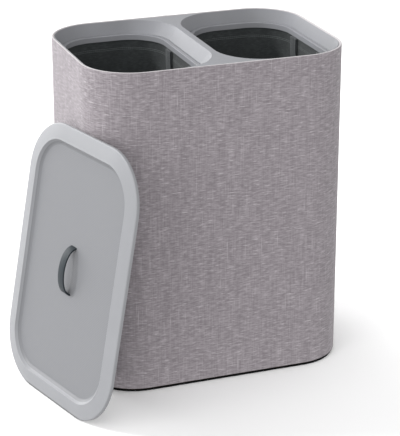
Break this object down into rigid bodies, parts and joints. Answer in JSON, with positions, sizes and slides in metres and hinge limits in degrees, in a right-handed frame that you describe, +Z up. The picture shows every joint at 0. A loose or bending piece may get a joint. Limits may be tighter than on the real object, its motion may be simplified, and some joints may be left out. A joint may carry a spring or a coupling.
{
  "type": "laundry hamper",
  "caption": "Upright laundry hamper with rounded corners: a cloth-covered wall on a low base, a moulded top frame over lift-out bags, and a loose lid with a strap handle leaning at one end.",
  "frame": {"origin": "middle of the hamper's base, on the floor", "axes": "+X along the hamper's long side to the right, +Y to the back, +Z up; the lid leans at the -X end"},
  "size_m": [0.6304, 0.5088, 0.624],
  "materials": {
    "linen_fabric": "woven melange cloth, matte",
    "wall_board": "plain fibre board",
    "liner_board": "dark fibre board, matte",
    "black_plastic": "fine moulded grain",
    "grey_plastic": "satin moulded plastic",
    "bag_fabric": "plain woven polyester, matte",
    "bag_webbing": "ribbed webbing",
    "strap_rubber": "smooth satin strap"
  },
  "bodies": {
    "hamper": {"base_tray": "black_plastic", "body_board": "wall_board", "liner_board": "liner_board", "fabric_cover": "linen_fabric", "top_frame": "grey_plastic"},
    "left_bag": {"left_bag": "bag_fabric", "left_bag_rim": "grey_plastic", "left_bag_floor_board": "liner_board", "left_bag_patch_inner_front": "bag_webbing", "left_bag_patch_inner_back": "bag_webbing", "left_bag_patch_outer_front": "bag_webbing", "left_bag_patch_outer_back": "bag_webbing"},
    "left_bag_handle_inner": {"left_bag_handle_inner": "bag_webbing"},
    "left_bag_handle_outer": {"left_bag_handle_outer": "bag_webbing"},
    "right_bag": {"right_bag": "bag_fabric", "right_bag_rim": "grey_plastic", "right_bag_floor_board": "liner_board", "right_bag_patch_inner_front": "bag_webbing", "right_bag_patch_inner_back": "bag_webbing", "right_bag_patch_outer_front": "bag_webbing", "right_bag_patch_outer_back": "bag_webbing"},
    "right_bag_handle_inner": {"right_bag_handle_inner": "bag_webbing"},
    "right_bag_handle_outer": {"right_bag_handle_outer": "bag_webbing"},
    "lid": {"lid_panel": "grey_plastic", "lid_handle": "strap_rubber", "lid_handle_retainer_lower": "black_plastic", "lid_handle_retainer_upper": "black_plastic"}
  },
  "joints": [
    {"name": "left_bag_lift", "type": "slide", "parent": "hamper", "child": "left_bag", "axis": [0, 0, 1], "range_m": [0, 0.64]},
    {"name": "left_bag_handle_inner_swing", "type": "hinge", "parent": "left_bag", "child": "left_bag_handle_inner", "pos_m": [-0.0332, 0, 0.5875], "axis": [0, 1, 0], "range_deg": [0, 180]},
    {"name": "left_bag_handle_outer_swing", "type": "hinge", "parent": "left_bag", "child": "left_bag_handle_outer", "pos_m": [-0.2258, 0, 0.5875], "axis": [0, -1, 0], "range_deg": [0, 180]},
    {"name": "right_bag_lift", "type": "slide", "parent": "hamper", "child": "right_bag", "axis": [0, 0, 1], "range_m": [0, 0.64]},
    {"name": "right_bag_handle_inner_swing", "type": "hinge", "parent": "right_bag", "child": "right_bag_handle_inner", "pos_m": [0.0332, 0, 0.5875], "axis": [0, -1, 0], "range_deg": [0, 180]},
    {"name": "right_bag_handle_outer_swing", "type": "hinge", "parent": "right_bag", "child": "right_bag_handle_outer", "pos_m": [0.2258, 0, 0.5875], "axis": [0, 1, 0], "range_deg": [0, 180]},
    {"name": "lid_tilt", "type": "hinge", "parent": "hamper", "child": "lid", "pos_m": [-0.34366, -0.15659, 0.00085], "axis": [0.2504, -0.9681, 0], "range_deg": [0, 85]}
  ]
}
